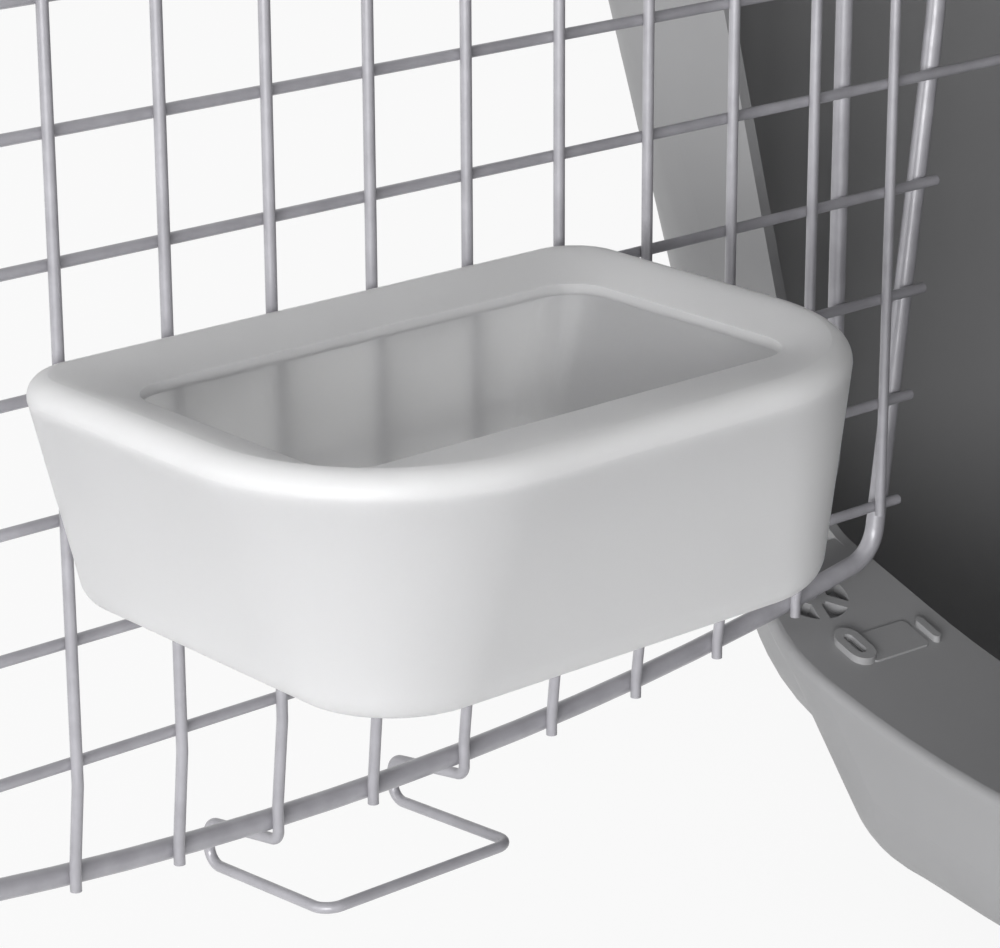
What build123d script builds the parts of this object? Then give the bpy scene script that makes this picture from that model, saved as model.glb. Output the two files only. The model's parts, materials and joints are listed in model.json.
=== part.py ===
from build123d import *
import math
import os

# Pet carrier in two plastic halves, with a wire door on its front and a bowl hung on the door.
# Millimetres. X runs to the right seen from the front, Y from the front to the back, Z up.
# The origin is on the ground under the middle of the carrier.
# The door stands open, as it was seen. Its parts are drawn shut and then swung open.

# The two halves
WIDTH = 483.0            # outside, where the halves meet
LENGTH = 680.0           # outside, where the halves meet
SEAM = 247.1             # height of the joint between the halves
ROOF = 234.9             # from the joint to the top of the roof
WALL = 3.0
SIDE_DRAFT = 0.052       # how far the sides lean in for each millimetre away from the joint
FRONT_SLOPE = 0.15       # the same for the front wall
BACK_SLOPE = 0.12        # the same for the back wall
RIM_CORNER = 26.0        # upright corners at the joint
END_CORNER = 78.0        # upright corners at the floor and the roof
END_ROUND = 58.0         # edge between the walls and the floor or roof
FLANGE = 9.0             # width of the rim where the halves meet
FLANGE_THICK = 4.0
SKIN = 3.0               # thickness of the sill

# The door, measured on its wires
MESH = 25.0              # between upright wires
ROW = 25.0               # between level wires
UPRIGHTS = 13
ROWS = 13
WIRE = 1.2               # radius of the mesh wires
FRAME = 2.2              # radius of the frame rod
HINGE_ROD = 1.9          # radius of the hinge rod
WELD = 0.15              # how deep a welded crossing sinks in
ARM = 32.0               # reach of the one level wire that runs out past the frame
ARM_ROW = 4              # its place, counted up from the lowest
DOOR_MID_HALF = 174.0    # half the frame's width at mid height
DOOR_END_HALF = 153.5    # half the frame's width at its lower and upper corners
RAIL_REACH = 28.25       # from the outer rows to the middle of the bowed rails
RAIL_RADIUS = 800.0
FRAME_CORNER = 9.0
FRAME_MID_BEND = 400.0
HINGE_INSET = 11.0       # from the first upright to the hinge axis
HINGE_OUT = 11.3         # from the upright wires out to the hinge axis
HINGE_BEHIND = 4.0       # from the joint's front edge in to the hinge axis
JOG_INNER = 13.0         # where the hinge rod leaves the wires' plane, above the lowest row
JOG_OUTER = 9.0          # and where it reaches the hinge axis, below that row
JOG_BEND = 22.0
DOOR_OPEN = 87.5         # degrees from shut to how it stands
DOORWAY_GAP = 5.0        # from the frame rod's axis to the doorway's edge
DOORWAY_CORNER = 16.0
SILL_DROP = 42.0         # from the lowest row to the sill's flat middle
SILL_FLAT = 41.0         # half the length of its flat middle
SILL_RADIUS = 237.0      # of the bends that raise its ends
SILL_RISE = 20.8         # degrees that its straight ends rise outward
PIN_DEPTH = 12.0         # how far a hinge pin goes into the sill
PIN_GAP = 0.05           # round a hinge pin and a latch rod
END_GAP = 0.3            # under the lower hinge pin

# The ledges that carry the sills
LEDGE_FRONT = 22.0       # from the hinge axis to the lip
LEDGE_LEAN = 11.0        # how far the ledge's face leans back down to its foot
LEDGE_HALF = 161.0       # half its width at the sill
LEDGE_FOOT_HALF = 112.0  # half its width at the foot
LEDGE_CORNER = 30.0
LEDGE_ROUND = 0.6        # radius along its foot, as a share of its depth under the sill
LEDGE_SHORT = 10.0       # from its foot to the ground or the roof
LIP_ROUND = 2.0
BEAD_OUT = 0.8           # how far the bead along the lip stands out
BEAD_HIGH = 5.5

# The ring of ribs round each pin's hole
STAR = 9.5               # radius of the groove that the ribs cross
STAR_HUB = 4.2           # radius of the collar round the hole
STAR_DEEP = 3.0
STAR_RIBS = 6
STAR_RIB = 2.6           # width of a rib
STAR_RAISE = 0.6         # how far the ribs stand above the sill
STAR_TURN = 17.0         # degrees that the first rib points towards the front
STAR_EDGE = 0.8  # least flat left between the groove and the rounded lip
RIB_ROOT = 0.5  # how far a rib's ends and foot go into what holds them
SEAT_ABOVE = 8  # how far above the sill the seat's boss and hole start
BOSS_WALL = 1.5          # outside the groove

# The raised oval ring on the sill beside the hinge
RING_X = 19.5            # its middle, from the hinge axis
RING_Y = -3.8
RING_LONG = 11.0
RING_WIDE = 7.0

# The wire loop under the door that holds the sill's catch
KEEPER_HALF = 25.0
KEEPER_REACH = 26.5      # in front of the upright wires
KEEPER_BACK = 13.0       # behind them
KEEPER_TURN = 31.5       # below the lowest row, where it leaves the rail's wires
KEEPER_TOP = 35.5        # its upper run's outer end
KEEPER_LOW = 44.9        # its lower run's outer end
KEEPER_END = 42.0        # its lower run's inner end

# The catch, a bridge on the middle of the sill with a passage under it
CATCH_HIGH = 4.6         # its top above the sill
CATCH_THICK = 2.8
CATCH_PLAY = 3.8         # beside the keeper
CATCH_SIDE = 4.0         # thickness of its two sides
CATCH_LIP = 1.5          # behind the keeper's outer end
PASSAGE_LOW = 8.0        # the passage's floor below the sill
NOTCH_FOOT_HALF = 62.0
NOTCH_FOOT = 60.0        # how far the cut in the ledge's face goes down

# The bowl
BOWL_LEFT = 96.0         # from the first upright
BOWL_RIGHT = 239.5
BOWL_DEEP = 102.5        # out from the door
BOWL_GAP = 0.5           # behind the rim
BOWL_FOOT = 35.5         # height of the underside above the lowest row
BOWL_WIDEST = 79.0
BOWL_TOP = 83.5
BOWL_WALL = 2.2
RIM_CORNERS = (13.0, 42.0)    # radii at the back and at the front
FOOT_IN = (12.0, 0.5, 8.0)    # how far the foot lies inside the rim: sides, back and front
FOOT_CORNERS = (11.0, 20.0)
FOOT_ROUND = 7.0
MOUTH_IN = (15.5, 16.5, 22.0)    # how far the mouth lies inside the rim: sides, back and front
MOUTH_CORNERS = (9.0, 10.0)
MOUTH_FALL = 3.3         # from the rim's top down to the mouth's edge
RIM_FLAT = (4.0, 4.0, 4.0)       # from the outside in to where the rim begins to fall

HOOK_WIDE = 12.0
HOOK_THICK = 2.2
HOOK_DROP = 7.0          # how far a hook hangs below the level wire's top

# The latch, two rods with grips that are pushed apart to lock the door
LATCH_ROD = 2.0
LATCH_TRAVEL = 9.0       # of each rod
LATCH_DEPTH = 6.0        # of a rod's tip in the sill when locked
GRIP_GAP = 8.0           # between the two grips when drawn together
GRIP_HIGH = 14.0
GRIP_WIDE = 30.0
GRIP_DEEP = 17.0

# The carrying handle on the roof
HANDLE_SPAN = 190.0      # between the middles of its legs
HANDLE_REACH = 48.0      # from its pivots to the grip
HANDLE_UP = 13.0         # from the roof to its pivots
GRIP_RADIUS = 10.0
LEG_RADIUS = 6.0
HANDLE_PIN = 2.5
CHEEK = 5.0

# The clips along the sides
CLIP_PLACES = (-185.0, 185.0)
CLIP_WIDE = 40.0
CLIP_THICK = 4.0
CLIP_OUT = 4.5           # from the rim's edge to the clip's pivot
CLIP_DOWN = 17.0         # from the joint to the clip's pivot
CLIP_HOOK = 7.5
CLIP_PIN = 2.0
KNUCKLE = 6.0

# The bolts and wing nuts that hold the rims at the corners
EAR_PLACES = (-285.0, 285.0)
EAR_OUT = 10.5
EAR_RADIUS = 10.0
BOLT = 2.5
HEAD_RADIUS = 4.6
HEAD_HIGH = 3.5
NUT_RADIUS = 5.5
NUT_HIGH = 6.0
WING_LONG = 26.0

# The slots in the upper half
SLOT_HIGH = 66.0
SLOT_WIDE = 8.0
SLOT_PITCH = 18.0
SLOT_LEVEL = 100.0       # their middle, above the joint
SIDE_BANKS = (-120.0, 120.0)
SIDE_SLOTS = 9
BACK_SLOTS = 13
FIT = 0.05               # round a pin in its bore
PLAY = 0.4               # between a turning piece and its cheeks

BASE = (Align.CENTER, Align.CENTER, Align.MIN)
RIB = (Align.MIN, Align.CENTER, Align.MIN)
NO_INSET = (0.0, 0.0, 0.0)

# Worked out from the values above
HEIGHT = SEAM + ROOF
DOOR_HALF_HIGH = (ROWS - 1) * ROW / 2
ROW_1 = SEAM - DOOR_HALF_HIGH
FRONT = -LENGTH / 2
BACK = LENGTH / 2
HINGE_X = HINGE_INSET - (UPRIGHTS - 1) * MESH / 2
HINGE_Y = FRONT + HINGE_BEHIND
LEVEL_N = -2 * WIRE + WELD
FRAME_N = LEVEL_N - WIRE - FRAME + WELD
ROD_N = LEVEL_N - WIRE - HINGE_ROD + WELD
LATCH_N = FRAME_N - FRAME - LATCH_ROD - 0.15
SILL_S = DOOR_HALF_HIGH + SILL_DROP
RISE = math.radians(SILL_RISE)


def rod(a, b, radius):
    """A straight round rod from one point to another."""
    along = Vector(*b) - Vector(*a)
    return extrude(Plane(origin=a, z_dir=along) * Circle(radius), along.length)


def bent_rod(points, bends, radius):
    """A round rod along straight runs joined by bends."""
    path = FilletPolyline(*points, radius=bends)
    return sweep(Plane(origin=path @ 0, z_dir=path % 0) * Circle(radius), path=path)


def rounded(level, half, front, back, corner):
    """A rounded rectangle on a level plane."""
    middle = Pos(0, (front + back) / 2, level)
    return middle * RectangleRounded(2 * half, back - front, corner)


# The halves are drawn as the upper one, with their joint at height zero.
def half_form(rise, inset, start=0.0):
    """The body of one half, drawn in by inset from its outside."""
    def section(s):
        corner = RIM_CORNER + (END_CORNER - RIM_CORNER) * s / rise - inset
        return rounded(s, WIDTH / 2 - SIDE_DRAFT * s - inset, FRONT + FRONT_SLOPE * s + inset,
                       BACK - BACK_SLOPE * s - inset, corner)
    end = rise - inset
    form = loft([section(start), section(end)], ruled=True)
    return fillet(form.faces().sort_by(Axis.Z)[-1].edges(), END_ROUND - inset)


def sill_s(x, extra=0.0):
    """How far the sill, or a face set off beyond it, lies from the joint at a place across."""
    x = abs(x)
    radius = SILL_RADIUS + extra
    bend = SILL_FLAT + radius * math.sin(RISE)
    middle = SILL_S - SILL_RADIUS
    if x <= SILL_FLAT:
        return SILL_S + extra
    if x <= bend:
        return middle + math.sqrt(radius**2 - (x - SILL_FLAT) ** 2)
    return middle + radius * math.cos(RISE) - (x - bend) * math.tan(RISE)


def sill_face(extra):
    """The sill's outline across the doorway, closed on the doorway's side."""
    radius = SILL_RADIUS + extra
    middle = SILL_S - SILL_RADIUS

    def on_bend(angle):
        return SILL_FLAT + radius * math.sin(angle), middle + radius * math.cos(angle)
    bend = on_bend(RISE)
    end = (bend[0] + WIDTH / 3 * math.cos(RISE), bend[1] - WIDTH / 3 * math.sin(RISE))
    arc = ThreePointArc((SILL_FLAT, SILL_S + extra), on_bend(RISE / 2), bend)
    half = Line((0, SILL_S + extra), (SILL_FLAT, SILL_S + extra)) + arc + Polyline(bend, end, (end[0], -30))
    other = mirror(half, about=Plane.YZ)
    return make_face([*half.edges(), *other.edges(), Edge.make_line((end[0], -30), (-end[0], -30))])


def along_y(face, start, length):
    """A face drawn across and up, pushed from a place in front towards the back."""
    return extrude(Pos(0, start, 0) * Rot(90, 0, 0) * face, length, dir=(0, 1, 0))


def beyond_sill(extra):
    """The space on the doorway's side of the sill, as one long bar along Y."""
    return along_y(sill_face(extra), HINGE_Y - 100, 300)


def ledge_walls(rise, inset):
    """The ledge's leaning walls, drawn in by inset, past its top and its foot."""
    foot = rise - LEDGE_SHORT
    top = sill_s(LEDGE_HALF) - 6
    lip = HINGE_Y - LEDGE_FRONT

    def section(s):
        share = (s - top) / (foot - top)
        half = LEDGE_HALF + (LEDGE_FOOT_HALF - LEDGE_HALF) * share - inset
        return rounded(s, half, lip + LEDGE_LEAN * share + inset, lip + 130, LEDGE_CORNER - inset)
    return loft([section(top), section(foot + 5)], ruled=True)


def ledge_block(rise, inset):
    """The ledge before its top is cut, with its foot rounded and level with the sill's line."""
    high = rise - LEDGE_SHORT - SILL_S
    form = ledge_walls(rise, inset) & beyond_sill(high - inset)
    under = form.edges().filter_by(lambda e: abs((e @ 0.5).Z - sill_s((e @ 0.5).X, high - inset)) < 0.01)
    under = under.filter_by(lambda e: (e @ 0.5).Y < HINGE_Y - LEDGE_FRONT + 120)
    return fillet(under, LEDGE_ROUND * high - inset)


def ledge_form(rise):
    """The ledge's outside, with a rounded bead along its lip."""
    body = ledge_block(rise, 0)
    bead = ledge_walls(rise, -BEAD_OUT) & beyond_sill(BEAD_HIGH)
    form = body + bead - beyond_sill(0)
    lip = form.edges().filter_by(lambda e: abs((e @ 0.5).Z - sill_s((e @ 0.5).X)) < 0.01)
    return fillet(lip.filter_by(lambda e: (e @ 0.5).Y < HINGE_Y + 20), LIP_ROUND)


def doorway():
    """The opening through the front wall."""
    mid_half = DOOR_MID_HALF + DOORWAY_GAP
    lean = (DOOR_MID_HALF - DOOR_END_HALF) / rail_s(DOOR_END_HALF)
    far = SILL_S + 20
    far_half = mid_half - lean * far
    left = [(-mid_half, -20), (-mid_half, 0), (-far_half, far)]
    right = [(far_half, far), (mid_half, 0), (mid_half, -20)]
    face = make_face(Polyline(*left, *right, close=True)) & sill_face(0)
    corners = face.vertices().filter_by(lambda v: abs(v.X) > DOOR_END_HALF and v.Y > 20)
    return along_y(fillet(corners, DOORWAY_CORNER), HINGE_Y - 60, 150)


def on_sill(sketch, high):
    """A low raised form on the sill, from a sketch seen from above."""
    block = extrude(Pos(0, 0, SILL_S - 60) * sketch, 70)
    return (block & beyond_sill(SKIN / 2)) - beyond_sill(-high)


def pin_seat(rise, x, y, radius, deep):
    """Under the sill the boss that a pin goes into, its hole, and the groove and ribs round the hole."""
    s = sill_s(x)
    start = Pos(x, y, s - SEAT_ABOVE)
    boss = start * Cylinder(STAR + BOSS_WALL, SEAT_ABOVE + deep + SKIN, align=BASE)
    boss = (boss - beyond_sill(SKIN / 2)) & ledge_block(rise, WALL / 2)
    hole = start * Cylinder(radius, SEAT_ABOVE + deep, align=BASE)
    tilt = Pos(x, y, s) * Rot(0, math.copysign(SILL_RISE, x), 0)
    within = LIP_ROUND - BEAD_OUT + STAR_EDGE
    groove = tilt * (Cylinder(STAR, 2 * STAR_DEEP) - Cylinder(STAR_HUB, 2 * STAR_DEEP))
    groove = groove & ledge_block(rise, within)
    long = STAR - STAR_HUB + 2 * RIB_ROOT
    high = STAR_RAISE + STAR_DEEP + RIB_ROOT
    rib = Pos(STAR_HUB - RIB_ROOT, 0, -STAR_RAISE) * Box(long, STAR_RIB, high, align=RIB)
    around = ledge_block(rise, within - RIB_ROOT)
    turns = [360 / STAR_RIBS * k - STAR_TURN for k in range(STAR_RIBS)]
    ribs = [(tilt * Rot(0, 0, turn) * rib) & around for turn in turns]
    return boss, groove, ribs, hole


def half_shell(rise):
    """One half: walls, rim, ledge and the seats of the door's pins."""
    body = half_form(rise, 0)
    rim = extrude(rounded(0, WIDTH / 2 + FLANGE, FRONT - FLANGE, BACK + FLANGE, RIM_CORNER + FLANGE),
                  FLANGE_THICK)
    for x in (-1, 1):
        for y in EAR_PLACES:
            ear = Pos(x * (WIDTH / 2 + EAR_OUT), y, 0) * Cylinder(EAR_RADIUS, FLANGE_THICK, align=BASE)
            web = Pos(x * WIDTH / 2, y, 0) * Box(2 * EAR_OUT, 2 * EAR_RADIUS, FLANGE_THICK, align=BASE)
            rim += ear + web
    lip = HINGE_Y - LEDGE_FRONT
    foot = rise - LEDGE_SHORT
    radius = LEDGE_ROUND * (foot - SILL_S)
    under = Pos(0, lip + LEDGE_LEAN + radius + 6, foot - WALL - 1)
    under *= Box(2 * LEDGE_FOOT_HALF - 70, 80, WALL + 3, align=(Align.CENTER, Align.MIN, Align.MIN))
    cavity = ledge_block(rise, WALL) - beyond_sill(SKIN) + under - body
    shell = body + rim + ledge_form(rise) - half_form(rise, WALL, -1) - cavity
    latch_y = HINGE_Y + HINGE_OUT + LATCH_N
    for x, y, radius, deep in ((HINGE_X, HINGE_Y, HINGE_ROD + PIN_GAP, PIN_DEPTH + END_GAP),
                               (-HINGE_X, latch_y, LATCH_ROD + PLAY, LATCH_DEPTH + 2)):
        boss, groove, ribs, hole = pin_seat(rise, x, y, radius, deep)
        shell = (shell + boss - groove + ribs) - hole
    shell -= doorway()
    for x in (-1, 1):
        for y in EAR_PLACES:
            shell -= Pos(x * (WIDTH / 2 + EAR_OUT), y, -1) * Cylinder(BOLT + FIT, 10, align=BASE)
    return shell


def catch():
    """The bridge on the sill's middle that the keeper holds, and the cut that the keeper goes through."""
    half = KEEPER_HALF + WIRE + CATCH_PLAY
    top = SILL_S - CATCH_HIGH
    under = top + CATCH_THICK
    front = HINGE_Y + HINGE_OUT - KEEPER_REACH + WIRE + CATCH_LIP
    back = FRONT + FRONT_SLOPE * SILL_S + 2 * WALL
    face = Pos(0, (top + SILL_S + SKIN) / 2) * Rectangle(2 * (half + CATCH_SIDE), CATCH_HIGH + SKIN)
    bridge = along_y(face, front, back - front)
    low = SILL_S + PASSAGE_LOW
    run = Pos(0, (under + low) / 2) * Rectangle(2 * half, low - under)
    passage = along_y(run, front - 30, back + 5 - front + 30)
    foot = SILL_S + NOTCH_FOOT
    corners = [(-half, under), (half, under), (NOTCH_FOOT_HALF, foot), (-NOTCH_FOOT_HALF, foot)]
    lip = HINGE_Y - LEDGE_FRONT
    radius = LEDGE_ROUND * (SEAM - LEDGE_SHORT - SILL_S)
    notch = along_y(make_face(Polyline(*corners, close=True)), lip - 10, 10 + LEDGE_LEAN + radius)
    return bridge, passage + (notch - beyond_sill(SKIN))


def sill_moulding():
    """The raised oval ring, pad and ridge on the sill beside the hinge."""
    place = Pos(HINGE_X, HINGE_Y)
    oval = place * Pos(RING_X, RING_Y) * (SlotOverall(RING_LONG, RING_WIDE) - SlotOverall(6.5, 2.6))
    pad = place * Pos(RING_X + 1, RING_Y + 10) * RectangleRounded(9, 18, 1.5)
    ridge = place * Pos(RING_X + 1.8, RING_Y + 21.8) * SlotOverall(7.5, 2.2)
    return on_sill(oval, 1.6) + on_sill(pad - oval, 0.5) + on_sill(ridge, 1.5)


def lower_shell():
    """The lower half, turned over from how the halves are drawn."""
    bridge, cut = catch()
    shell = half_shell(SEAM) + bridge - cut + sill_moulding()
    shell = Pos(0, 0, SEAM) * mirror(shell, Plane.XY)
    for side in (-1, 1):
        for y in CLIP_PLACES:
            shell += clip_cheeks(side, y)
    return shell


def upper_shell():
    """The upper half with its slots and the cheeks that hold the handle."""
    shell = half_shell(ROOF)
    slot = SlotOverall(SLOT_HIGH, SLOT_WIDE)
    cuts = []
    for y0 in SIDE_BANKS:
        for k in range(SIDE_SLOTS):
            y = y0 + (k - (SIDE_SLOTS - 1) / 2) * SLOT_PITCH
            cuts.append(Pos(-WIDTH, y, SLOT_LEVEL) * Rot(0, 90, 0) * extrude(slot, 2 * WIDTH))
    for k in range(BACK_SLOTS):
        x = (k - (BACK_SLOTS - 1) / 2) * SLOT_PITCH
        cuts.append(Pos(x, BACK + 10, SLOT_LEVEL) * Rot(90, 0, 0) * extrude(Rot(0, 0, 90) * slot, 60))
    shell -= cuts
    shell = Pos(0, 0, SEAM) * shell
    for y in (-1, 1):
        shell += handle_cheeks(y * HANDLE_SPAN / 2)
    return shell


# The pivots' cheeks
def cheek_pair(y, half_gap, profile):
    """Two upright plates, one each side of a turning piece."""
    near = extrude(Pos(0, y - half_gap, 0) * Rot(90, 0, 0) * profile, CHEEK)
    far = extrude(Pos(0, y + half_gap + CHEEK, 0) * Rot(90, 0, 0) * profile, CHEEK)
    return near + far


def clip_pivot(side):
    return side * (WIDTH / 2 + FLANGE + CLIP_OUT), SEAM - CLIP_DOWN


def clip_cheeks(side, y):
    x, z = clip_pivot(side)
    wall = side * (WIDTH / 2 - 2)
    profile = Pos((x + wall) / 2, z) * Rectangle(abs(x - wall), 2 * KNUCKLE) + Pos(x, z) * Circle(KNUCKLE)
    profile -= Pos(x, z) * Circle(CLIP_PIN + FIT)
    pair = cheek_pair(y, CLIP_WIDE / 2 + PLAY, profile)
    return pair - Pos(0, 0, SEAM) * mirror(half_form(SEAM, WALL), Plane.XY)


def handle_cheeks(y):
    z = HEIGHT + HANDLE_UP
    profile = Pos(0, HEIGHT + HANDLE_UP / 2 - 1) * Rectangle(26, HANDLE_UP + 2)
    profile = make_hull([*profile.edges(), *(Pos(0, z) * Circle(9)).edges()])
    profile -= Pos(0, z) * Circle(HANDLE_PIN + FIT)
    return cheek_pair(y, LEG_RADIUS + PLAY, profile)


# The door, drawn shut: across from the first upright, in from the uprights, up from the lowest row
def at(across, inward, up):
    return (across - (UPRIGHTS - 1) * MESH / 2, HINGE_Y + HINGE_OUT + inward, ROW_1 + up)


def hung(shape):
    """Swings a piece of the door from shut to how it stands open."""
    return Pos(HINGE_X, HINGE_Y, 0) * Rot(0, 0, -DOOR_OPEN) * Pos(-HINGE_X, -HINGE_Y, 0) * shape


def rail_s(x):
    """How far the rail's middle lies from the door's mid height."""
    return DOOR_HALF_HIGH + RAIL_REACH - x * x / (2 * RAIL_RADIUS)


def side_x(s):
    """Half the frame's width at a distance from the door's mid height."""
    share = abs(s) / rail_s(DOOR_END_HALF)
    return DOOR_MID_HALF + (DOOR_END_HALF - DOOR_MID_HALF) * share


def door_frame():
    """The thick rod bent round the door."""
    half = DOOR_END_HALF
    end = rail_s(half)
    reach = rail_s(0)
    side = Polyline((-half, -end), (-DOOR_MID_HALF, 0), (-half, end))
    top = ThreePointArc((-half, end), (0, reach), (half, end))
    other = Polyline((half, end), (DOOR_MID_HALF, 0), (half, -end))
    base = ThreePointArc((half, -end), (0, -reach), (-half, -end))
    face = make_face(side + top + other + base)
    face = fillet(face.vertices().filter_by(lambda v: abs(v.Y) > 1), FRAME_CORNER)
    face = fillet(face.vertices().filter_by(lambda v: abs(v.Y) < 1), FRAME_MID_BEND)
    y = HINGE_Y + HINGE_OUT + FRAME_N
    path = (Pos(0, y, SEAM) * Rot(90, 0, 0) * face).wires()[0]
    return sweep(Plane(origin=path @ 0, z_dir=path % 0) * Circle(FRAME), path=path)


def door_uprights():
    """The upright mesh wires, but for the two that run on into the keeper loop."""
    middle = (UPRIGHTS - 1) // 2
    top = 2 * DOOR_HALF_HIGH
    rail_n = FRAME_N + FRAME + WIRE - WELD
    wires = []
    for i in range(UPRIGHTS):
        if abs(i - middle) == KEEPER_HALF / MESH:
            continue
        across = i * MESH
        if i in (0, UPRIGHTS - 1):
            wires.append(rod(at(across, 0, -1.5), at(across, 0, top + 1.5), WIRE))
            continue
        end = rail_s(across - middle * MESH) - DOOR_HALF_HIGH + 2.4
        points = [at(across, rail_n, -end), at(across, rail_n, 4 - end), at(across, 0, -4),
                  at(across, 0, top + 4), at(across, rail_n, top + end - 4), at(across, rail_n, top + end)]
        wires.append(bent_rod(points, 6, WIRE))
    return Compound(wires)


def door_crosswires():
    """The level mesh wires. The fifth runs on past the frame, behind the wall."""
    wires = []
    for k in range(ROWS):
        up = k * ROW
        half = side_x(up - DOOR_HALF_HIGH) + FRAME + 0.8
        middle = (UPRIGHTS - 1) * MESH / 2
        reach = half + ARM if k == ARM_ROW else half
        wires.append(rod(at(middle - reach, LEVEL_N, up), at(middle + half, LEVEL_N, up), WIRE))
    return Compound(wires)


def hinge_rod():
    """The rod whose two ends are the hinge pins, jogged out past the rails."""
    top = 2 * DOOR_HALF_HIGH
    end = sill_s(HINGE_X) - DOOR_HALF_HIGH + PIN_DEPTH
    x = HINGE_INSET
    points = [at(x, -HINGE_OUT, -end), at(x, -HINGE_OUT, -JOG_OUTER), at(x, ROD_N, JOG_INNER),
              at(x, ROD_N, top - JOG_INNER), at(x, -HINGE_OUT, top + JOG_OUTER), at(x, -HINGE_OUT, top + end)]
    return bent_rod(points, JOG_BEND, HINGE_ROD)


def keeper_loop():
    """One wire: up the door, out over the lip, back under it, and up again beside itself."""
    top = 2 * DOOR_HALF_HIGH
    middle = (UPRIGHTS - 1) * MESH / 2
    rail_n = FRAME_N + FRAME + WIRE - WELD
    rail_end = rail_s(KEEPER_HALF) - DOOR_HALF_HIGH
    front = -KEEPER_REACH
    side = [(rail_n, top + rail_end + 3), (rail_n, top + rail_end - 3), (0, top + 4), (0, -4),
            (rail_n, 4 - rail_end), (rail_n, -KEEPER_TURN), (front, -KEEPER_TOP), (front, -KEEPER_LOW),
            (KEEPER_BACK, -KEEPER_END)]
    left = [at(middle - KEEPER_HALF, n, v) for n, v in side]
    right = [at(middle + KEEPER_HALF, n, v) for n, v in reversed(side)]
    bends = [6, 6, 6, 6, 2.5, 3.5, 3.5, 4, 4, 3.5, 3.5, 2.5, 6, 6, 6, 6]
    return bent_rod(left + right, bends, WIRE)


def latch_rods():
    """The upper and the lower latch rod, drawn back."""
    x = (UPRIGHTS - 1) * MESH - HINGE_INSET
    middle = DOOR_HALF_HIGH
    tip = sill_s(HINGE_X) + LATCH_DEPTH - LATCH_TRAVEL
    near = GRIP_GAP / 2 + 3
    upper = rod(at(x, LATCH_N, middle + near), at(x, LATCH_N, middle + tip), LATCH_ROD)
    lower = rod(at(x, LATCH_N, middle - tip), at(x, LATCH_N, middle - near), LATCH_ROD)
    return upper, lower


def latch_grip(sign, latch_rod):
    """One grip, a rounded block fixed on its rod, with a hollow for a finger on its far side."""
    x = (UPRIGHTS - 1) * MESH - HINGE_INSET
    block = Box(GRIP_WIDE, GRIP_DEEP, GRIP_HIGH)
    block = fillet(block.edges().filter_by(Axis.Z), 5)
    block = fillet(block.edges().group_by(Axis.Z)[0] + block.edges().group_by(Axis.Z)[-1], 1.5)
    back = LEVEL_N - WIRE - 1.0 - LATCH_N
    dip = Pos(0, -GRIP_DEEP / 2 - 2, sign * (GRIP_HIGH / 2 + 8)) * Rot(0, 90, 0) * Cylinder(12, GRIP_WIDE - 8)
    block = Pos(0, back - GRIP_DEEP / 2, 0) * (block - dip)
    return Pos(*at(x, LATCH_N, DOOR_HALF_HIGH + sign * (GRIP_GAP + GRIP_HIGH) / 2)) * block - latch_rod


def latch_guides():
    """The staples on the level wires that the latch rods slide in."""
    x = (UPRIGHTS - 1) * MESH - HINGE_INSET
    half = LATCH_ROD + 0.3 + WIRE
    far = LATCH_N - LATCH_ROD - 0.3 - WIRE
    near = LEVEL_N - WIRE + WELD
    staples = []
    for row in (1, 3, ROWS - 4, ROWS - 2):
        up = row * ROW
        ends = [(-half, near), (-half, far), (half, far), (half, near)]
        points = [at(x + across, out, up) for across, out in ends]
        staples.append(bent_rod(points, 2.0, WIRE))
    return Compound(staples)


def bowl_section(up, inset, corners):
    """The bowl's outline at a height, drawn in by inset, with its back and front corners."""
    side, back, front = inset
    across = (BOWL_LEFT + BOWL_RIGHT) / 2
    near = WIRE + BOWL_GAP + back
    far = WIRE + BOWL_GAP + BOWL_DEEP - front
    outline = Rectangle(BOWL_RIGHT - BOWL_LEFT - 2 * side, far - near)
    outline = fillet(outline.vertices().group_by(Axis.Y)[0], corners[0])
    outline = fillet(outline.vertices().group_by(Axis.Y)[-1], corners[1])
    return Pos(*at(across, (near + far) / 2, up)) * outline


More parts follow.
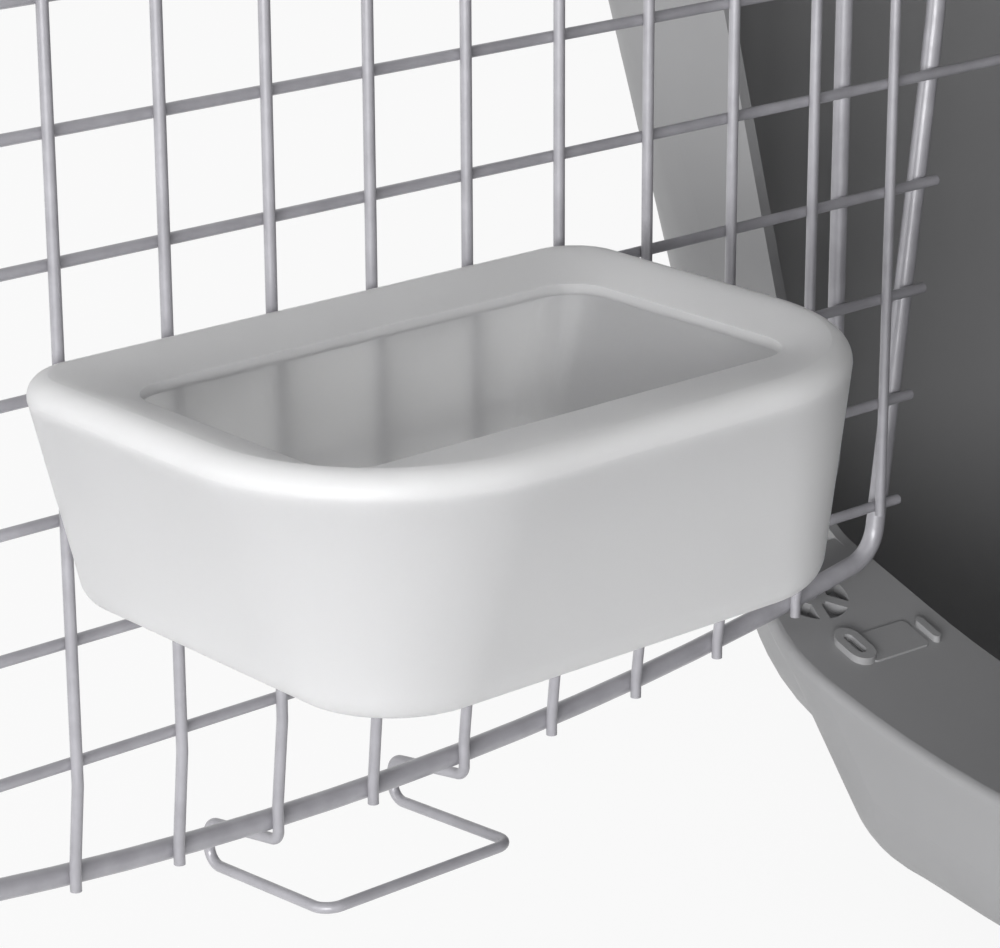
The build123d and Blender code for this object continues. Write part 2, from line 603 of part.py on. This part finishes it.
def bowl():
    """The bowl with its broad rim turned inward, and two hooks over a level wire."""
    near = WIRE + BOWL_GAP
    t = BOWL_WALL
    edge = BOWL_TOP - MOUTH_FALL

    def inner(up, inset, corners):
        return bowl_section(up, [v + t for v in inset], [c - t for c in corners])
    widest = bowl_section(BOWL_WIDEST, NO_INSET, RIM_CORNERS)
    body = loft([bowl_section(BOWL_FOOT, FOOT_IN, FOOT_CORNERS), widest], ruled=True)
    body = fillet(body.faces().sort_by(Axis.Z)[0].edges(), FOOT_ROUND)
    rim = extrude(widest, BOWL_TOP - BOWL_WIDEST)
    rim = fillet(rim.faces().sort_by(Axis.Z)[-1].edges(), BOWL_TOP - BOWL_WIDEST - 0.4)
    low = inner(BOWL_FOOT + t, FOOT_IN, FOOT_CORNERS)
    hollow = loft([low, inner(edge - t, NO_INSET, RIM_CORNERS)], ruled=True)
    hollow = fillet(hollow.faces().sort_by(Axis.Z)[0].edges(), FOOT_ROUND - t)
    mouth = extrude(bowl_section(edge - 2 * t, MOUTH_IN, MOUTH_CORNERS), 4 * t)
    flat = bowl_section(BOWL_TOP, RIM_FLAT, [c - v for c, v in zip(RIM_CORNERS, RIM_FLAT)])
    dish = loft([bowl_section(edge, MOUTH_IN, MOUTH_CORNERS), flat], ruled=True)
    shape = body + rim - hollow - mouth - dish
    hook_row = 3 * ROW
    for across in (5.5 * MESH, 7.5 * MESH):
        arm_low = hook_row + WIRE + 0.2
        arm_out = LEVEL_N - WIRE - 0.25 - HOOK_THICK
        a = at(across - HOOK_WIDE / 2, arm_out, arm_low)
        arm = Pos(*a) * Box(HOOK_WIDE, near + 1.6 - arm_out, HOOK_THICK, align=(Align.MIN,) * 3)
        b = at(across - HOOK_WIDE / 2, arm_out, arm_low - HOOK_DROP)
        leg = Pos(*b) * Box(HOOK_WIDE, HOOK_THICK, HOOK_DROP + HOOK_THICK, align=(Align.MIN,) * 3)
        shape += arm + leg
    return shape


def carry_handle():
    """The bail on the roof, lying folded to the right."""
    z = HEIGHT + HANDLE_UP
    half = HANDLE_SPAN / 2
    grip = Pos(HANDLE_REACH, 0, z) * Rot(90, 0, 0) * Cylinder(GRIP_RADIUS, HANDLE_SPAN - 2 * LEG_RADIUS)
    grip = fillet(grip.edges(), 3)
    corners = [(0, -half, z), (HANDLE_REACH, -half, z), (HANDLE_REACH, half, z), (0, half, z)]
    shape = bent_rod(corners, 14, LEG_RADIUS)
    shape += grip
    for y in (-half, half):
        shape += Pos(0, y, z) * Rot(90, 0, 0) * Cylinder(8.5, 2 * LEG_RADIUS)
        shape -= Pos(0, y, z) * Rot(90, 0, 0) * Cylinder(HANDLE_PIN + FIT, 3 * LEG_RADIUS)
    return shape


def headed_pin(x, y, z, radius, length):
    """A pin along Y with a flat head at each end."""
    pin = Cylinder(radius, length)
    for end in (-1, 1):
        pin += Pos(0, 0, end * (length / 2 + 0.7)) * Cylinder(1.6 * radius, 1.4)
    return Pos(x, y, z) * Rot(90, 0, 0) * pin


def handle_pins():
    length = 2 * (LEG_RADIUS + PLAY + CHEEK) + 2 * FIT
    up = HEIGHT + HANDLE_UP
    half = HANDLE_SPAN / 2
    return Compound([headed_pin(0, y, up, HANDLE_PIN, length) for y in (-half, half)])


def side_clip(side, y):
    """A clip that turns on the lower half and hooks over the upper half's rim."""
    x, z = clip_pivot(side)
    top = SEAM + FLANGE_THICK + 0.3
    knuckle = Pos(x, y, z) * Rot(90, 0, 0) * Cylinder(KNUCKLE - 0.5, CLIP_WIDE)
    plate = Pos(x, y, (z + top + CLIP_THICK) / 2) * Box(CLIP_THICK, CLIP_WIDE, top + CLIP_THICK - z)
    hook_mid = x - side * CLIP_HOOK / 2
    hook = Pos(hook_mid - side * 1, y, top + CLIP_THICK / 2) * Box(CLIP_HOOK + 2, CLIP_WIDE, CLIP_THICK)
    tab = Pos(x + side * 5, y, top + CLIP_THICK / 2) * Box(10, CLIP_WIDE - 12, CLIP_THICK)
    clip = knuckle + plate + hook + tab
    return clip - Pos(x, y, z) * Rot(90, 0, 0) * Cylinder(CLIP_PIN + FIT, CLIP_WIDE + 2)


def clip_pins():
    length = CLIP_WIDE + 2 * (PLAY + CHEEK) + 2 * FIT
    pins = []
    for side in (-1, 1):
        x, z = clip_pivot(side)
        pins += [headed_pin(x, y, z, CLIP_PIN, length) for y in CLIP_PLACES]
    return Compound(pins)


def ear_spots():
    return [(x * (WIDTH / 2 + EAR_OUT), y) for x in (-1, 1) for y in EAR_PLACES]


def shell_bolts():
    bolts = []
    long = 2 * FLANGE_THICK + NUT_HIGH + 3
    for x, y in ear_spots():
        head = extrude(RegularPolygon(HEAD_RADIUS, 6), -HEAD_HIGH)
        shank = Cylinder(BOLT, long, align=BASE)
        bolts.append(Pos(x, y, SEAM - FLANGE_THICK) * (head + shank))
    return Compound(bolts)


def wing_nuts():
    nuts = []
    for x, y in ear_spots():
        hub = Cylinder(NUT_RADIUS, NUT_HIGH, align=BASE)
        wings = Pos(0, 0, 1) * Box(2.6, WING_LONG, 10, align=(Align.CENTER, Align.CENTER, Align.MIN))
        wings = fillet(wings.edges().filter_by(Axis.X), 4)
        nut = hub + wings - Cylinder(BOLT + FIT, 40)
        nuts.append(Pos(x, y, SEAM + FLANGE_THICK) * nut)
    return Compound(nuts)


def build():
    """Every piece by its name."""
    upper_rod, lower_rod = latch_rods()
    pieces = {
        "lower_shell": lower_shell(),
        "upper_shell": upper_shell(),
        "shell_bolts": shell_bolts(),
        "wing_nuts": wing_nuts(),
        "clip_pins": clip_pins(),
        "handle_pins": handle_pins(),
        "carry_handle": carry_handle(),
        "door_frame": hung(door_frame()),
        "door_uprights": hung(door_uprights()),
        "door_crosswires": hung(door_crosswires()),
        "hinge_rod": hung(hinge_rod()),
        "keeper_loop": hung(keeper_loop()),
        "latch_guides": hung(latch_guides()),
        "upper_latch_rod": hung(upper_rod),
        "lower_latch_rod": hung(lower_rod),
        "upper_latch_grip": hung(latch_grip(1, upper_rod)),
        "lower_latch_grip": hung(latch_grip(-1, lower_rod)),
        "bowl": hung(bowl()),
    }
    for side, word in ((-1, "left"), (1, "right")):
        for y, place in zip(CLIP_PLACES, ("front", "rear")):
            pieces[f"{word}_{place}_clip"] = side_clip(side, y)
    return pieces


os.makedirs("parts", exist_ok=True)
for name, shape in build().items():
    export_step(shape, f"parts/{name}.step")
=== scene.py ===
import bpy
import json
import math
from mathutils import Matrix, Vector


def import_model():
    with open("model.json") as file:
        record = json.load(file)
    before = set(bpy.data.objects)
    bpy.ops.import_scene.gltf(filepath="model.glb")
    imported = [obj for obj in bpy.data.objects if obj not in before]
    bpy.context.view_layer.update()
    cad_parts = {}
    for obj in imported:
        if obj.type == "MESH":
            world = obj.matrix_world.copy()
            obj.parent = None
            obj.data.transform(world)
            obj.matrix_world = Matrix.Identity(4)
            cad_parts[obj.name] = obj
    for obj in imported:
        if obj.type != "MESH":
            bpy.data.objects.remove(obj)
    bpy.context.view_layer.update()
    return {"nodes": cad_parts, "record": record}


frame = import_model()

# The camera, as the photograph was taken
CAMERA_AT = (0.43706, -0.88552, 0.37689)
CAMERA_LOOK = (-0.741079, 0.58822, -0.323726)
CAMERA_ROLL = math.radians(-0.26)
CAMERA_LENS = 130.4643

# Colours, linear
SHELL = (0.29, 0.29, 0.296)
WIRE_COAT = (0.33, 0.325, 0.35)
BOWL = (0.96, 0.96, 0.97)
DARK = (0.045, 0.045, 0.05)
STEEL = (0.55, 0.55, 0.56)
FLOOR = (0.9, 0.9, 0.9)

# Floor and light, in metres and watts
FLOOR_RADIUS = 7
FLOOR_SIDES = 64
FLOOR_BELOW = 0.0002  # keeps the floor clear of the carrier's underside
FLOOR_WHITE = 0.9
AMBIENT = 0.46
KEY = {"at": (1.5, -2.5, 0.4), "aim": (-0.05, -0.4, 0.16), "size": (1.8, 0.8), "power": 66}
FILL = {"at": (-0.6, -2.8, 0.4), "aim": (-0.05, -0.5, 0.2), "size": (1.4, 0.9), "power": 12}


# Materials
class Nodes:
    """A material's node tree, with short calls for the nodes used here."""

    def __init__(self, name):
        self.material = bpy.data.materials.new(name)
        self.material.use_nodes = True
        self.tree = self.material.node_tree
        self.shader = self.tree.nodes["Principled BSDF"]
        self.place = self.tree.nodes.new("ShaderNodeTexCoord").outputs["Object"]

    def noise(self, scale, detail=2.0, rough=0.5):
        node = self.tree.nodes.new("ShaderNodeTexNoise")
        node.inputs["Scale"].default_value = scale
        node.inputs["Detail"].default_value = detail
        node.inputs["Roughness"].default_value = rough
        self.tree.links.new(self.place, node.inputs["Vector"])
        return node.outputs["Fac"]

    def spread(self, value, low, high, start=0.3, end=0.7):
        """Maps a noise value to a range."""
        node = self.tree.nodes.new("ShaderNodeMapRange")
        node.inputs["From Min"].default_value = start
        node.inputs["From Max"].default_value = end
        node.inputs["To Min"].default_value = low
        node.inputs["To Max"].default_value = high
        self.tree.links.new(value, node.inputs["Value"])
        return node.outputs["Result"]

    def tint(self, colour, value, low, high):
        """The colour, made darker and lighter by a noise value."""
        node = self.tree.nodes.new("ShaderNodeMix")
        node.data_type = "RGBA"
        node.inputs["A"].default_value = (*[c * low for c in colour], 1)
        node.inputs["B"].default_value = (*[min(1, c * high) for c in colour], 1)
        self.tree.links.new(self.spread(value, 0, 1), node.inputs["Factor"])
        return node.outputs["Result"]

    def bump(self, value, strength, distance, before=None):
        node = self.tree.nodes.new("ShaderNodeBump")
        node.inputs["Strength"].default_value = strength
        node.inputs["Distance"].default_value = distance
        self.tree.links.new(value, node.inputs["Height"])
        if before:
            self.tree.links.new(before, node.inputs["Normal"])
        return node.outputs["Normal"]

    def set(self, name, value):
        self.shader.inputs[name].default_value = value

    def join(self, value, name):
        self.tree.links.new(value, self.shader.inputs[name])


def moulded(name, colour, grain=0.35, rough=(0.42, 0.55)):
    """Injection moulded plastic: fine spark-eroded grain, faint flow marks, soft sheen."""
    m = Nodes(name)
    m.join(m.tint(colour, m.noise(9, 3), 0.965, 1.035), "Base Color")
    m.join(m.spread(m.noise(60, 4), *rough), "Roughness")
    fine = m.bump(m.noise(2600, 2, 0.6), grain, 0.00006)
    m.join(m.bump(m.noise(28, 2), 0.12, 0.0006, fine), "Normal")
    m.set("Specular IOR Level", 0.42)
    return m.material


def coated_wire(name, colour):
    """Drawn wire under a thin satin coat, uneven at the small scale."""
    m = Nodes(name)
    m.join(m.tint(colour, m.noise(140, 4), 0.9, 1.1), "Base Color")
    m.join(m.spread(m.noise(420, 3), 0.28, 0.44), "Roughness")
    runs = m.bump(m.noise(700, 3, 0.6), 0.3, 0.00012)
    m.join(m.bump(m.noise(90, 2), 0.25, 0.0005, runs), "Normal")
    m.set("Metallic", 0.1)
    m.set("Coat Weight", 0.3)
    m.set("Coat Roughness", 0.25)
    return m.material


def milky(name, colour):
    """Thick translucent plastic that shows what lies against it as a soft shadow."""
    m = Nodes(name)
    m.join(m.tint(colour, m.noise(14, 2), 0.985, 1.01), "Base Color")
    m.join(m.spread(m.noise(50, 3), 0.36, 0.46), "Roughness")
    fine = m.bump(m.noise(1800, 2, 0.6), 0.22, 0.00005)
    m.join(m.bump(m.noise(22, 2), 0.1, 0.0007, fine), "Normal")
    m.set("Subsurface Weight", 1.0)
    m.set("Subsurface Radius", (0.022, 0.022, 0.0215))
    m.set("Subsurface Scale", 1.0)
    m.set("Transmission Weight", 0.12)
    m.set("IOR", 1.45)
    m.set("Specular IOR Level", 0.4)
    return m.material


def plated(name, colour):
    """Zinc-plated steel with fine turning marks."""
    m = Nodes(name)
    m.join(m.tint(colour, m.noise(300, 4), 0.85, 1.1), "Base Color")
    m.join(m.spread(m.noise(900, 3), 0.25, 0.45), "Roughness")
    m.join(m.bump(m.noise(3000, 2), 0.2, 0.00004), "Normal")
    m.set("Metallic", 1.0)
    return m.material


LOOKS = {
    "shell": moulded("shell_grey", SHELL),
    "wire": coated_wire("wire_grey", WIRE_COAT),
    "bowl": milky("bowl_milky", BOWL),
    "dark_plastic": moulded("dark_grey", DARK, 0.5, (0.38, 0.5)),
    "hardware": plated("zinc", STEEL),
}
for part in frame["record"]["subparts"]:
    node = frame["nodes"][part["node"]]
    node.data.materials.clear()
    node.data.materials.append(LOOKS[part["material_slot"]])


# Floor, backdrop and light
def shown_to_eye(nodes, links):
    """One for camera, glossy and transmission rays, and nought for the rays that light things."""
    rays = nodes.new("ShaderNodeLightPath")
    seen = rays.outputs["Is Camera Ray"]
    for other in ("Is Glossy Ray", "Is Transmission Ray"):
        add = nodes.new("ShaderNodeMath")
        add.operation = "MAXIMUM"
        links.new(seen, add.inputs[0])
        links.new(rays.outputs[other], add.inputs[1])
        seen = add.outputs[0]
    return seen


def shown_white(name, colour, white):
    """A diffuse surface that cameras, gloss and clear plastic see as nearly white."""
    m = Nodes(name)
    m.join(m.tint(colour, m.noise(3, 2), 0.995, 1.005), "Base Color")
    m.set("Roughness", 0.9)
    nodes, links = m.tree.nodes, m.tree.links
    seen = shown_to_eye(nodes, links)
    share = nodes.new("ShaderNodeMath")
    share.operation = "MULTIPLY"
    share.inputs[1].default_value = white
    links.new(seen, share.inputs[0])
    glow = nodes.new("ShaderNodeEmission")
    glow.inputs["Color"].default_value = (1, 1, 1, 1)
    glow.inputs["Strength"].default_value = 1.0
    mix = nodes.new("ShaderNodeMixShader")
    links.new(share.outputs[0], mix.inputs["Fac"])
    links.new(m.shader.outputs["BSDF"], mix.inputs[1])
    links.new(glow.outputs["Emission"], mix.inputs[2])
    links.new(mix.outputs["Shader"], nodes["Material Output"].inputs["Surface"])
    return m.material


def floor():
    mesh = bpy.data.meshes.new("floor")
    turns = [2 * math.pi * k / FLOOR_SIDES for k in range(FLOOR_SIDES)]
    ring = [(FLOOR_RADIUS * math.cos(a), FLOOR_RADIUS * math.sin(a), -FLOOR_BELOW) for a in turns]
    mesh.from_pydata(ring, [], [list(range(FLOOR_SIDES))])
    ground = bpy.data.objects.new("floor", mesh)
    bpy.context.scene.collection.objects.link(ground)
    mesh.materials.append(shown_white("floor_white", FLOOR, FLOOR_WHITE))


def world(ambient):
    sky = bpy.data.worlds.new("studio")
    bpy.context.scene.world = sky
    sky.use_nodes = True
    nodes, links = sky.node_tree.nodes, sky.node_tree.links
    seen = shown_to_eye(nodes, links)
    level = nodes.new("ShaderNodeMapRange")
    level.inputs["To Min"].default_value = ambient
    level.inputs["To Max"].default_value = 1.0
    links.new(seen, level.inputs["Value"])
    back = nodes["Background"]
    back.inputs["Color"].default_value = (1, 1, 1, 1)
    links.new(level.outputs["Result"], back.inputs["Strength"])


def lamp(name, at, aim, size, power):
    light = bpy.data.lights.new(name, "AREA")
    light.shape = "RECTANGLE"
    light.size, light.size_y = size
    light.energy = power
    obj = bpy.data.objects.new(name, light)
    bpy.context.scene.collection.objects.link(obj)
    way = Vector(aim) - Vector(at)
    obj.matrix_world = Matrix.Translation(at) @ way.to_track_quat("-Z", "Y").to_matrix().to_4x4()


floor()
world(AMBIENT)
lamp("key", **KEY)
lamp("fill", **FILL)


def photograph_camera():
    data = bpy.data.cameras.new("camera")
    data.sensor_fit = "HORIZONTAL"
    data.sensor_width = 36
    data.lens = CAMERA_LENS
    data.clip_start = 0.01
    camera = bpy.data.objects.new("camera", data)
    bpy.context.scene.collection.objects.link(camera)
    look = Vector(CAMERA_LOOK).normalized()
    level = look.cross(Vector((0, 0, 1))).normalized()
    upright = level.cross(look)
    c, s = math.cos(CAMERA_ROLL), math.sin(CAMERA_ROLL)
    right = level * c + upright * s
    up = upright * c - level * s
    turn = Matrix((right, up, -look)).transposed().to_4x4()
    camera.matrix_world = Matrix.Translation(CAMERA_AT) @ turn
    bpy.context.scene.camera = camera


photograph_camera()
bpy.context.scene.view_settings.view_transform = "Standard"
